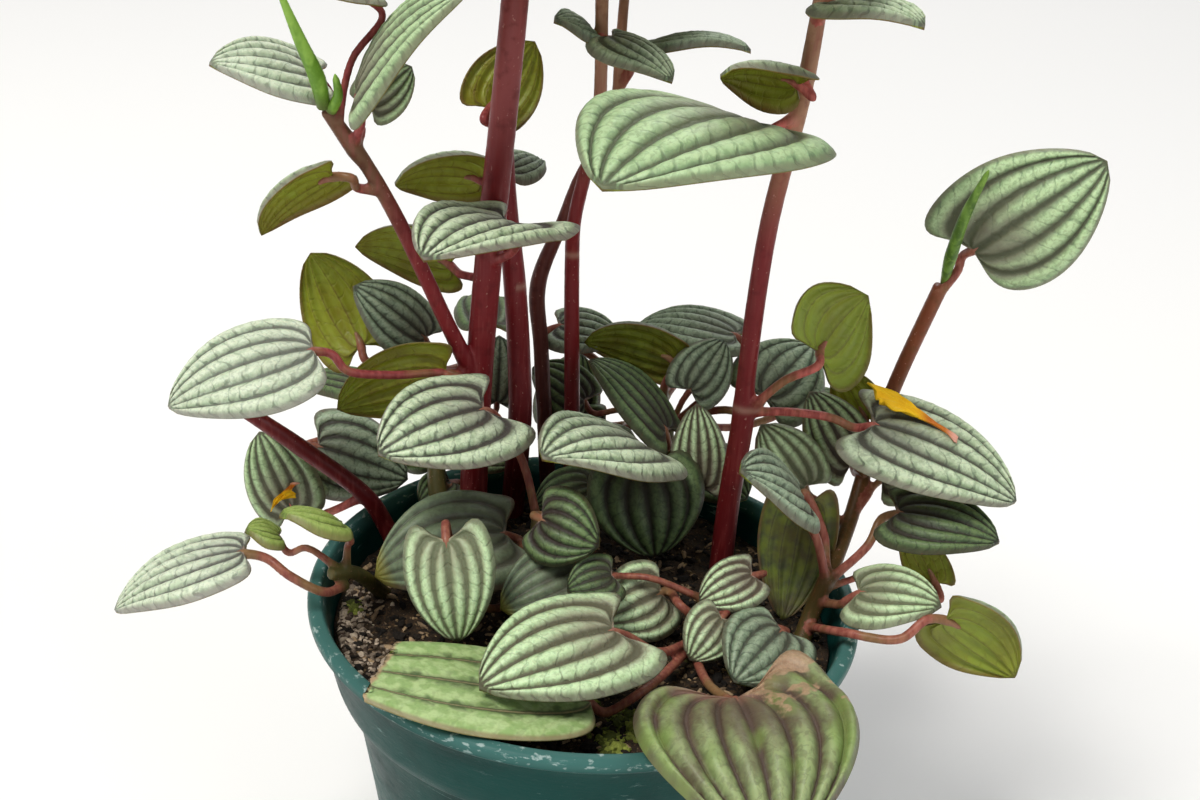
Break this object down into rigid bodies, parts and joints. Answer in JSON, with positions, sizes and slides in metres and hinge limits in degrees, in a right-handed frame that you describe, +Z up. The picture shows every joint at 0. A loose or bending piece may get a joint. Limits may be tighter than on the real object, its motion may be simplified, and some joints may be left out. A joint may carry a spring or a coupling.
{
  "type": "potted peperomia",
  "caption": "Bushy peperomia with heart-shaped, deeply veined leaves on red stalks and stems, standing in a tapered nursery pot filled with soil.",
  "frame": {"origin": "middle of the pot's flat underside", "axes": "+Z up out of the pot, -Y towards the side that the picture looks at, +X to its right"},
  "size_m": [0.1748, 0.1576, 0.2221],
  "materials": {
    "pot": "dark teal moulded plastic, scuffed, with a paler rim",
    "soil": "dry dark potting soil with bark bits and some moss, rough",
    "stem": "fleshy crimson stem with dusty pink leaf stalks, satin",
    "leaf": "silvery mint leaf, quilted between dark sunken veins, satin, with an olive underside",
    "spike": "fresh green flower spike, finely beaded",
    "floret": "dry yellow petal with an orange end, matt"
  },
  "bodies": {
    "root": {"pot": "pot", "soil": "soil", "shoot_back_left": "stem", "shoot_back_right": "stem", "shoot_centre": "stem", "shoot_front": "stem", "shoot_front_left": "stem", "shoot_left": "stem", "shoot_right": "stem", "stem_leaning_left": "stem", "stem_middle": "stem", "stem_middle_back": "stem", "stem_second_left": "stem", "stem_tall_left": "stem", "stem_tall_right": "stem", "leaf_a1": "leaf", "leaf_a2": "leaf", "leaf_b2": "leaf", "leaf_b3": "leaf", "leaf_c3": "leaf", "leaf_d1": "leaf", "leaf_d3": "leaf", "leaf_d4": "leaf", "leaf_d5": "leaf", "leaf_e1": "leaf", "leaf_f1": "leaf", "leaf_f3": "leaf", "leaf_f5": "leaf", "leaf_f6": "leaf", "leaf_f7": "leaf", "leaf_f8": "leaf", "leaf_g1": "leaf", "leaf_g10": "leaf", "leaf_g11": "leaf", "leaf_g13": "leaf", "leaf_g2": "leaf", "leaf_g5": "leaf", "leaf_g6": "leaf", "leaf_g7": "leaf", "leaf_g8": "leaf", "leaf_g9": "leaf", "leaf_h1": "leaf", "leaf_h2": "leaf", "leaf_h5": "leaf", "leaf_h6": "leaf", "leaf_h7": "leaf", "leaf_h8": "leaf", "leaf_h9": "leaf", "leaf_k3": "leaf", "leaf_k5": "leaf", "leaf_top_b1": "leaf", "leaf_top_b2": "leaf", "leaf_top_c1": "leaf", "leaf_top_c2": "leaf", "leaf_top_d1": "leaf", "leaf_top_d2": "leaf", "floret_left": "floret", "floret_right": "floret", "spike_left": "spike", "spike_right": "spike"}
  },
  "joints": []
}
